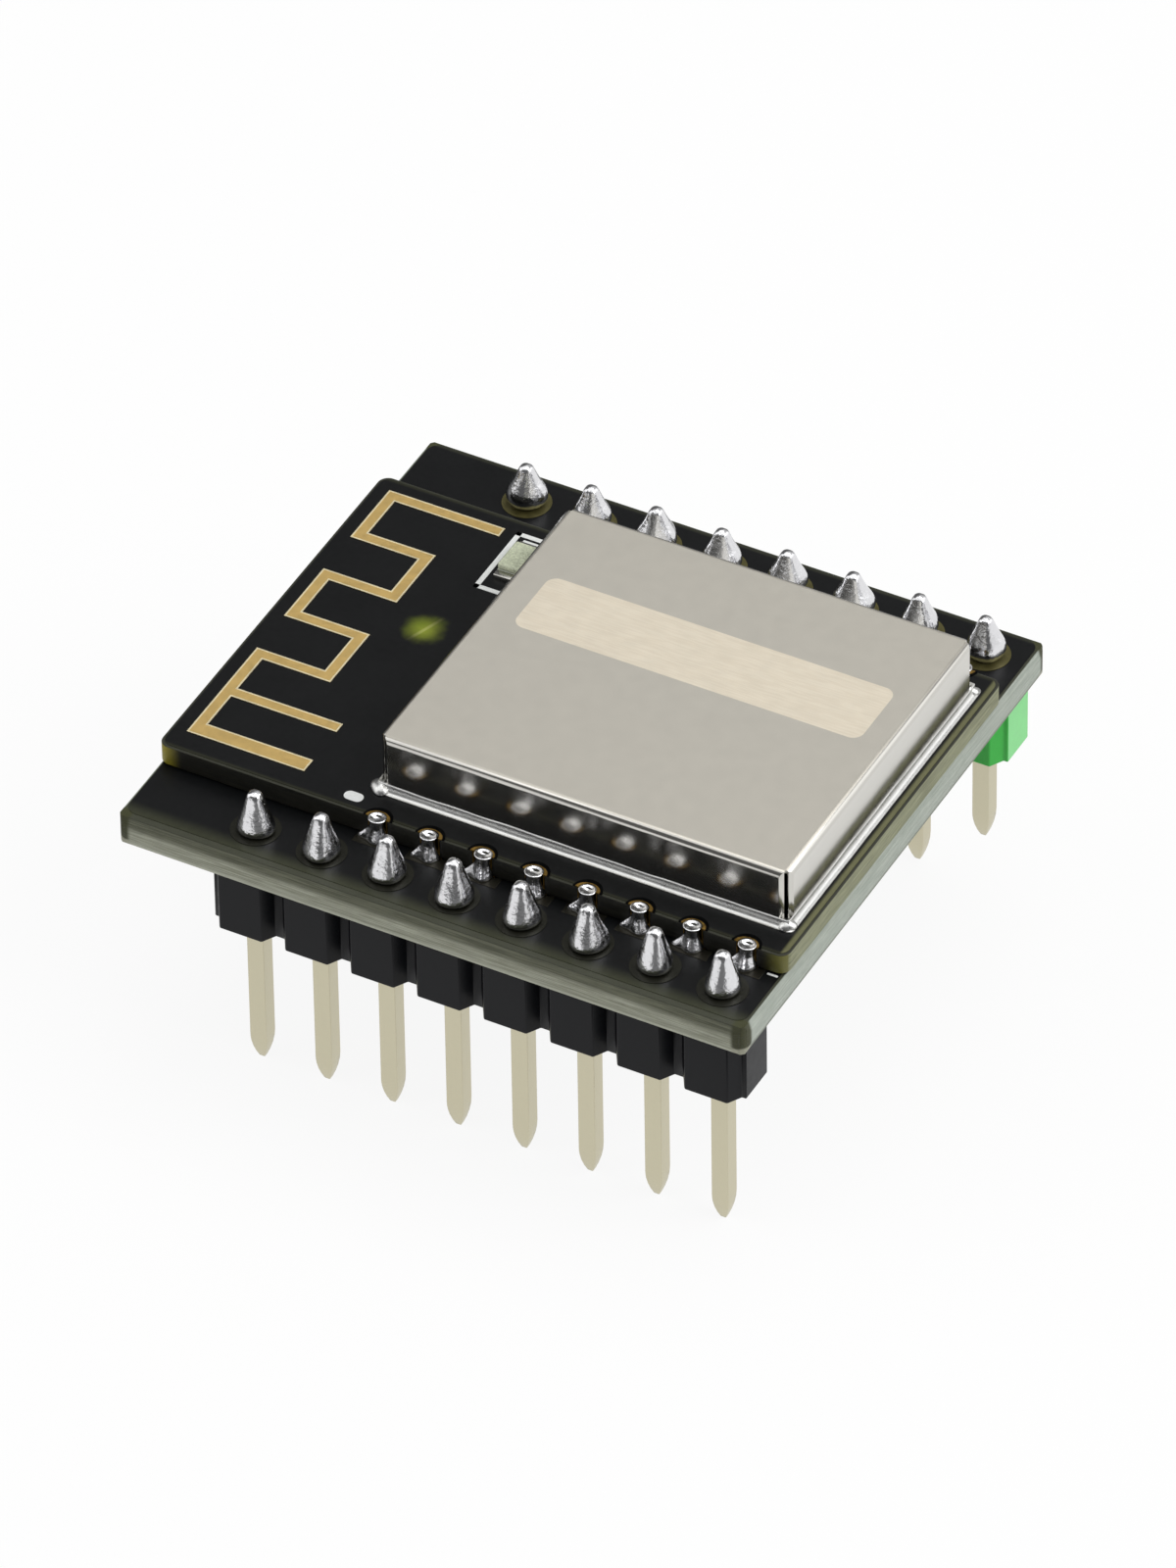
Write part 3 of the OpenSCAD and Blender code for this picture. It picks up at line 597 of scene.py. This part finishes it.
# The dash by the module's front right corner is a painted highlight.
film("corner_highlight_dash", *CORNER_HIGHLIGHT_DASH, carrier_mask_top, WHITE_MARK_T, WHITE_MARK_CORNER_R, WHITE_INK_AND_HIGHLIGHT, "carrier_laminate",
     WHITE_MARK_STEPS)
film("round_mark_ink", *ROUND_MARK, ink_base, WHITE_MARK_T, ROUND_MARK_R, WHITE_INK_AND_HIGHLIGHT, "module_laminate")


# ---- Castellated half holes ----
# Gold-plated lands and half barrels along both long edges of the module, with the mask lapped over
# the lands up to a thin gold rim. The solder was run in by hand: it climbs each half hole, and
# drags a toe along the pad and one outwards.
HALF_HOLES = 8
HOLE_PITCH = 2.0
GOLD_COLOUR = rgb(150, 120, 62)
# How far the gold shows from the middle of a hole, in mm, how soft that edge is, and how much
# sooner it ends towards the inside of the board.
GOLD_REACH = 0.47
GOLD_BLUR = 0.04
GOLD_INWARD = 1.28
land_low, land_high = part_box("castellation_plating_front")


def land_colour(tree):
    """Gold close to each half hole, and mask black where the film laps over the land.
    The distances are in millimetres, from the middle of the nearest hole."""
    first = (land_low.x + land_high.x) / 2 / MM + HOLE_PITCH / 2
    middle = (module_low.y + module_high.y) / 2 / MM
    reach = (module_high.y - module_low.y) / 2 / MM
    spot = add(tree, "SeparateXYZ", [(0, vectors(tree, "MULTIPLY", point(tree), PER_MM))])
    along = maths(tree, "SUBTRACT", spot.outputs["X"], first)
    along = maths(tree, "WRAP", along, HOLE_PITCH / 2, -HOLE_PITCH / 2)
    inward = maths(tree, "ABSOLUTE", maths(tree, "SUBTRACT", spot.outputs["Y"], middle))
    inward = maths(tree, "MULTIPLY", maths(tree, "SUBTRACT", reach, inward), GOLD_INWARD)
    away = add(tree, "CombineXYZ", [("X", along), ("Y", inward)]).outputs[0]
    away = vectors(tree, "LENGTH", away, output="Value")
    return blend(tree, ramp(tree, away, GOLD_REACH - GOLD_BLUR, GOLD_REACH), GOLD_COLOUR, MASK_BLACK)


GOLD = finish("immersion_gold", GOLD_COLOUR, spread=0.35, scale=6.0, roughness=0.34, rough_spread=0.12,
              metallic=1.0, bump=0.35, colour_from=land_colour)
SOLDER = finish("bright_solder", rgb(224, 224, 226), spread=0.04, scale=0.8, roughness=0.17,
                rough_spread=0.05, metallic=1.0, bump=0.6, depth=0.03)
CARRIER_FOIL_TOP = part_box("landing_pads_front")[1].z


def loft(vertices, faces, rings):
    """Adds a closed skin over rings of points, each as long as the others, to both lists."""
    start, count = len(vertices), len(rings[0])
    for ring in rings:
        vertices.extend(ring)
    faces.append(tuple(start + i for i in reversed(range(count))))
    for k in range(len(rings) - 1):
        low = start + k * count
        for i in range(count):
            j = (i + 1) % count
            faces.append((low + i, low + j, low + count + j, low + count + i))
    top = start + (len(rings) - 1) * count
    faces.append(tuple(top + i for i in range(count)))


def hump(turn, centre, width):
    """A smooth hump of height 1 on a circle, all in degrees."""
    off = (turn - centre + 180) % 360 - 180
    return math.exp(-(off / width) ** 2)


def ramp_up(value, start, end):
    """A straight step of a number, from 0 at start to 1 at end."""
    return min(1.0, max(0.0, (value - start) / (end - start)))


# Rings up the column, over the land and down into a shallow dish, as (share of the height, share
# of the foot, extra radius, rise above the module). Lengths are in mm and toe widths in degrees.
COLUMN = [(k / 12, 1 - ramp_up(k / 12, 0.08, 0.70) ** 1.1, 0.0, 0.0) for k in range(13)]
COLUMN += [(1, 0, 0.02, 0.030), (1, 0, 0.015, 0.046), (1, 0, -0.02, 0.054), (1, 0, -0.06, 0.04),
           (1, 0, -0.12, 0.01), (1, 0, -0.20, -0.02)]
RING_POINTS = 48
LAND_HALF_W = 0.55
FOOT_SPREAD = 0.15
TOE_WIDTH = 20
FRONT_TOE_WIDTH = 32
BARREL_R = 0.315
CAP_STRETCH = 1.12
dice = random.Random(7)
for row, side in (("front", -1), ("rear", 1)):
    dress("castellation_plating_" + row, GOLD)
    low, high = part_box("castellation_plating_" + row)
    edge = module_low.y if side < 0 else module_high.y
    tall = module_high.z - CARRIER_FOIL_TOP
    vertices, faces = [], []
    for i in range(HALF_HOLES):
        share = i / (HALF_HOLES - 1)
        x = low.x + (high.x - low.x) * share + LAND_HALF_W * (1 - 2 * share) * MM
        toe, front_toe = dice.uniform(0.27, 0.34), dice.uniform(0.02, 0.07)
        toe_turn, front_turn = dice.uniform(155, 172), dice.uniform(55, 95)
        waist, lean = dice.uniform(0.255, 0.285), dice.uniform(-0.06, 0.06)
        rings = []
        for t, foot, extra, rise in COLUMN:
            stretch = CAP_STRETCH if extra else 1
            ring = []
            for m in range(RING_POINTS):
                turn = 360 / RING_POINTS * m
                spread = FOOT_SPREAD + toe * hump(turn, toe_turn, TOE_WIDTH)
                spread += front_toe * hump(turn, front_turn, FRONT_TOE_WIDTH)
                radius = waist + spread * foot ** 1.5 + extra
                # Past half a turn the ring lies inside the plated hole.
                if turn > 180 and not extra:
                    radius = min(radius, BARREL_R)
                outward = radius * math.sin(math.radians(turn))
                ring.append((
                    x + (radius * stretch * math.cos(math.radians(turn)) + lean * t) * MM,
                    edge + side * outward * MM,
                    CARRIER_FOIL_TOP + t * tall + rise * MM,
                ))
            rings.append(ring if side > 0 else ring[::-1])
        loft(vertices, faces, rings)
    joints = mesh_object("castellation_solder_run_" + row, vertices, faces)
    joints.data.materials.append(SOLDER)
    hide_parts("castellation_solder_" + row)
    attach(joints, "root")


# ---- Antenna ----
# An inverted F etched from the module's copper and plated with gold. The paler line along both of
# its flanks is a painted highlight on its edges.
TRACE = finish("antenna_gold", rgb(224, 192, 124), spread=0.05, scale=4.0, roughness=0.42,
               rough_spread=0.08, metallic=1.0, bump=0.3)
# A pale gold line along the trace's flanks: a painted highlight on its edges.
FLANK_HIGHLIGHT = finish("antenna_flank_highlight", rgb(246, 234, 196), spread=0.05, scale=4.0, roughness=0.45,
               rough_spread=0.08, metallic=1.0, bump=0.3)
FLANK_HIGHLIGHT_W = 0.06 * MM
FLANK_HIGHLIGHT_T = 0.004 * MM
trace = dress("antenna_trace", TRACE)
work = bmesh.new()
work.from_mesh(trace.data)
work.transform(trace.matrix_world)
bmesh.ops.remove_doubles(work, verts=work.verts, dist=WELD_REACH)
bmesh.ops.dissolve_limit(work, angle_limit=FLAT_ANGLE, verts=work.verts, edges=work.edges)
trace_top = max(corner.co.z for corner in work.verts)
face = [f for f in work.faces if f.normal.z > 0.9 and abs(f.calc_center_median().z - trace_top) < 1e-6]
ribbon = set(bmesh.ops.inset_region(work, faces=face, thickness=FLANK_HIGHLIGHT_W, use_even_offset=True)["faces"])
bmesh.ops.delete(work, geom=[f for f in work.faces if f not in ribbon], context="FACES")
flank_highlight_mesh = bpy.data.meshes.new("antenna_flank_highlight_line")
work.to_mesh(flank_highlight_mesh)
work.free()
flank_highlight = bpy.data.objects.new("antenna_flank_highlight_line", flank_highlight_mesh)
bpy.context.scene.collection.objects.link(flank_highlight)
lift = flank_highlight.modifiers.new("lift", "SOLIDIFY")
lift.thickness = FLANK_HIGHLIGHT_T
lift.offset = 1
flank_highlight.data.materials.append(FLANK_HIGHLIGHT)
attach(flank_highlight, "root")


# ---- Shield can ----
# One nickel-silver sheet, stamped and folded over four sides. Its top is blasted matt, with a
# bare field left for marking, and its walls keep the bright rolled finish. It stands on a ring of
# copper land, which the solder along its foot has tinned.
FIELD_LOW = Vector((-2.95, 0.38)) * MM
FIELD_HIGH = Vector((10.30, 3.24)) * MM
FIELD_R = 0.42 * MM
FIELD_BLUR = 0.015 * MM


def can_top_share(tree):
    """1 on the flat top of the can and 0 on its bends and walls."""
    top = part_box("shield_can")[1].z
    z = add(tree, "SeparateXYZ", [(0, point(tree))]).outputs["Z"]
    return ramp(tree, z, top - 0.03 * MM, top - 0.008 * MM)


def field_share(tree):
    """1 inside the rounded marking field on the top of the can."""
    middle = (FIELD_LOW + FIELD_HIGH) / 2
    reach = (FIELD_HIGH - FIELD_LOW) / 2 - Vector((FIELD_R, FIELD_R))
    off = vectors(tree, "MULTIPLY", point(tree), (1, 1, 0))
    off = vectors(tree, "ABSOLUTE", vectors(tree, "SUBTRACT", off, (middle.x, middle.y, 0)))
    off = vectors(tree, "MAXIMUM", vectors(tree, "SUBTRACT", off, (reach.x, reach.y, 0)), (0, 0, 0))
    away = vectors(tree, "LENGTH", off, output="Value")
    return ramp(tree, away, FIELD_R + FIELD_BLUR, FIELD_R - FIELD_BLUR)


def can_colour(tree):
    """Grey beige on the blasted top, cream in its field, and clear metal on the walls."""
    hatch = vectors(tree, "MULTIPLY", point(tree), (1.2 / MM, 16 / MM, 1 / MM))
    lines = add(tree, "TexNoise", [("Vector", hatch), ("Scale", 1.0), ("Detail", 1)]).outputs["Fac"]
    cream = blend(tree, ramp(tree, lines, 0.3, 0.7), rgb(234, 224, 205), rgb(239, 230, 212))
    top = blend(tree, field_share(tree), rgb(201, 197, 187), cream)
    return blend(tree, can_top_share(tree), rgb(206, 204, 198), top)


def can_roughness(tree):
    """Smooth on the walls and matt on the top."""
    return ramp(tree, can_top_share(tree), 0, 1, low=0.16, high=0.52)


CAN = finish("nickel_silver", rgb(206, 201, 192), spread=0.02, scale=2.0, roughness=0.2,
             rough_spread=0.03, metallic=1.0, bump=0.12, colour_from=can_colour,
             roughness_from=can_roughness)
dress("shield_can", CAN, 0.02)
dress("ground_land", TINNED)

# The bead climbs and sags along the foot of the can, and gathers in lumps at the corners.
# The lumps are (radius, rise) in mm by corner: x side, then y side.
BEAD = finish("bead_solder", rgb(214, 214, 212), spread=0.05, scale=3.0, roughness=0.30,
              rough_spread=0.06, metallic=1.0, bump=0.3, depth=0.01)
BEAD_W = 0.23 * MM
BEAD_H = 0.36 * MM
BEAD_STEP = 0.12 * MM
BEAD_ANGLES = (0, 14, 28, 42, 56, 70, 80, 90)
BEAD_LUMPS = {(1, -1): (0.32, 0.24), (-1, -1): (0.42, 0.28), (1, 1): (0.28, 0.22), (-1, 1): (0.28, 0.22)}
LUMP_INSET = 0.10 * MM
LUMP_POINTS = 28
LUMP_STEPS = 8
CORNER_STEPS = 6
can_low, can_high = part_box("shield_can")
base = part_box("shield_solder")[0].z


def can_corner(sx, sy):
    """A corner of the can in plan, by the signs of its sides."""
    return Vector((can_high.x if sx > 0 else can_low.x, can_high.y if sy > 0 else can_low.y))


stations = []
corners = [(1, -1), (1, 1), (-1, 1), (-1, -1)]
for corner, following in zip(corners, corners[1:] + corners[:1]):
    here, there = can_corner(*corner), can_corner(*following)
    heading = (there - here).normalized()
    outward = Vector((heading.y, -heading.x))
    for k in range(CORNER_STEPS + 1):
        swing = math.radians(90 / CORNER_STEPS * k - 90)
        stations.append((here, Vector((
            outward.x * math.cos(swing) - outward.y * math.sin(swing),
            outward.x * math.sin(swing) + outward.y * math.cos(swing),
        ))))
    steps = int((there - here).length / BEAD_STEP)
    stations += [(here + (there - here) * k / steps, outward) for k in range(1, steps)]
vertices, faces = [], []
for here, outward in stations:
    wide = BEAD_W * (0.92 + 0.08 * noise.noise(Vector((here.x, here.y, 0)) * 900))
    tall = BEAD_H * (0.90 + 0.20 * noise.noise(Vector((here.x, here.y, 0.01)) * 600))
    section = [(wide * (1 - math.cos(math.radians(a))), tall * (1 - math.sin(math.radians(a))) ** 1.1)
               for a in BEAD_ANGLES] + [(0, 0)]
    for away, up in section:
        vertices.append((here.x + outward.x * away, here.y + outward.y * away, base + up))
total = len(stations)
count = len(BEAD_ANGLES) + 1
for k in range(total):
    n = (k + 1) % total
    for i in range(count):
        j = (i + 1) % count
        faces.append((k * count + i, k * count + j, n * count + j, n * count + i))
for (sx, sy), (radius, rise) in BEAD_LUMPS.items():
    x, y = can_corner(sx, sy)
    rings = []
    for k in range(LUMP_STEPS + 1):
        t = k / LUMP_STEPS
        ring = []
        for m in range(LUMP_POINTS):
            turn = math.tau * m / LUMP_POINTS
            reach = radius * math.sqrt(max(0.02, 1 - t ** 1.7)) * (1 + 0.10 * math.sin(3 * turn + sx)) * MM
            ring.append((
                x - sx * LUMP_INSET + reach * math.cos(turn),
                y - sy * LUMP_INSET + reach * math.sin(turn),
                base + rise * t * MM,
            ))
        rings.append(ring)
    loft(vertices, faces, rings)
bead = mesh_object("shield_bead", vertices, faces)
bead.data.materials.append(BEAD)
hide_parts("shield_solder")
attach(bead, "root")


# ---- Parts under the can ----
# Radio chip, memory chip, crystal and a row of chip resistors, moulded in plastic or fired in
# ceramic, with tinned ends that are soldered flat to the module. All are out of sight.
MOULDING = finish("chip_moulding", rgb(34, 34, 36), spread=0.12, scale=8.0, roughness=0.6,
                  rough_spread=0.06, bump=0.4)
CERAMIC = finish("brown_ceramic", rgb(150, 128, 98), spread=0.10, scale=6.0, roughness=0.5,
                 rough_spread=0.06, bump=0.3)
for node in ("radio_chip", "flash_chip"):
    dress(node, MOULDING, 0.05)
dress("flash_leads", TINNED)
dress("crystal_base", CERAMIC, 0.03)
dress("crystal_lid", TINNED, 0.03)
dress("passive_bodies", CERAMIC, 0.02)
dress("passive_ends", TINNED, 0.02)


# ---- Lamp beside the can ----
# A surface-mounted lamp: a white moulded base under a lens of clear resin, and a tinned end at
# each side that is soldered to the module.
LAMP_WHITE = finish("lamp_white", rgb(196, 200, 186), spread=0.10, scale=6.0, roughness=0.5,
                    rough_spread=0.06, bump=0.3)
LAMP_LENS = finish("lamp_resin", rgb(192, 198, 172), spread=0.42, scale=1.6, roughness=0.22,
                   rough_spread=0.08, bump=0.5, depth=0.02)
dress("lamp_base", LAMP_WHITE, 0.03)
dress("lamp_lens", LAMP_LENS, 0.08)
dress("lamp_ends", TINNED, 0.03)


# ---- Header strips ----
# Moulded insulators, black in front and green behind, each with eight square brass pins pressed
# through it. The pins are flashed with gold and pass up through the carrier's holes.
PINS = 8


def green_with_painted_light(tree):
    """Deep green on the long sides, the chamfers and the left end, and the end that faces right painted
    pale green as the light that falls on it from the right.
    """
    normal = add(tree, "SeparateXYZ", [(0, add(tree, "NewGeometry").outputs["Normal"])]).outputs["X"]
    # The end that faces right is painted pale as lit from the right.
    return blend(tree, ramp(tree, normal, 0.85, 0.97), rgb(60, 178, 70), rgb(132, 214, 138))


BLACK_STRIP = finish("moulded_black", rgb(10, 11, 15), spread=0.12, scale=3.0, roughness=0.36,
                     rough_spread=0.06, bump=0.4, specular=0.16)
GREEN_STRIP = finish("moulded_green_painted_light", rgb(84, 196, 92), spread=0.06, scale=3.0, roughness=0.45,
                     rough_spread=0.06, bump=0.4, specular=0.3, colour_from=green_with_painted_light)
PIN = finish("pin_gold_flash", rgb(203, 197, 172), spread=0.04, scale=3.0, roughness=0.40,
             rough_spread=0.06, metallic=1.0, bump=0.2)
dress("header_insulator_front", BLACK_STRIP, 0.05)
dress("header_insulator_rear", GREEN_STRIP, 0.05)
for row in ("front", "rear"):
    for i in range(1, PINS + 1):
        dress(f"{row}_pin_{i}", PIN, 0.03)


# ---- Solder on the pins ----
# Soldered by hand from above: the solder wets the whole end of each pin and stands on its
# ring as a drop, slimmer on the front row and fuller on the rear row.
# Profiles are (share of the height, radius in mm). Lump and hollow widths are in degrees.
FRONT_DROP = [(0, 0.57), (0.035, 0.64), (0.09, 0.665), (0.17, 0.655), (0.30, 0.59), (0.45, 0.505),
              (0.60, 0.42), (0.74, 0.35), (0.86, 0.295), (0.93, 0.25), (0.975, 0.19), (1, 0.06)]
REAR_DROP = [(0, 0.54), (0.05, 0.63), (0.13, 0.705), (0.24, 0.73), (0.36, 0.69), (0.48, 0.59),
             (0.60, 0.475), (0.72, 0.38), (0.84, 0.30), (0.93, 0.245), (0.975, 0.18), (1, 0.06)]
ROOT_R = 0.48 * MM
ROOT_DROP = 0.001 * MM
PIN_COVER = 0.03 * MM
SQUARING = 0.10
FOLD_DEPTH = 0.035
HOLLOW = 0.03
LUMP_WIDTH = 40
HOLLOW_WIDTH = 50
LUMP_TO_HOLLOW = 150
DROP_TURNS = [math.tau * m / 40 for m in range(40)]
for row, drop in (("front", FRONT_DROP), ("rear", REAR_DROP)):
    solder_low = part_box("pin_solder_" + row)[0]
    vertices, faces = [], []
    for i in range(1, PINS + 1):
        pin_low, pin_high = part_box(f"{row}_pin_{i}")
        x, y = (pin_low.x + pin_high.x) / 2, (pin_low.y + pin_high.y) / 2
        tall = pin_high.z + PIN_COVER - CARRIER_FOIL_TOP
        swell, squash = dice.uniform(0.94, 1.06), dice.uniform(-0.05, 0.05)
        lump_turn, lump = dice.uniform(0, 360), dice.uniform(0.03, 0.08)
        folds, fold_turn = dice.choice((3, 4, 5)), dice.uniform(0, math.tau)
        rings = [
            [(x + ROOT_R * math.cos(around), y + ROOT_R * math.sin(around), z) for around in DROP_TURNS]
            for z in (solder_low.z, CARRIER_FOIL_TOP - ROOT_DROP)
        ]
        for share, radius in drop:
            ring = []
            square = SQUARING * ramp_up(share, 0.45, 0.9)
            for around in DROP_TURNS:
                turn = math.degrees(around)
                wide = radius * (1 + (swell - 1) * (1 - share))
                wide *= 1 + square * (abs(math.sin(2 * around)) - 0.5)
                fold = math.sin(folds * around + fold_turn) * math.sin(math.pi * share ** 0.6)
                wide *= 1 + FOLD_DEPTH * fold
                wide += lump * (1 - share) * hump(turn, lump_turn, LUMP_WIDTH)
                wide -= HOLLOW * (1 - share) * hump(turn, lump_turn + LUMP_TO_HOLLOW, HOLLOW_WIDTH)
                ring.append((
                    x + wide * MM * (1 + squash * (1 - share)) * math.cos(around),
                    y + wide * MM * (1 - squash * (1 - share)) * math.sin(around),
                    CARRIER_FOIL_TOP + share * tall,
                ))
            rings.append(ring)
        loft(vertices, faces, rings)
    drops = mesh_object("pin_solder_drops_" + row, vertices, faces)
    rounder = drops.modifiers.new("rounder", "SUBSURF")
    rounder.levels = rounder.render_levels = 1
    drops.data.materials.append(SOLDER)
    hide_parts("pin_solder_" + row)
    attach(drops, "root")

low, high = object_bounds()
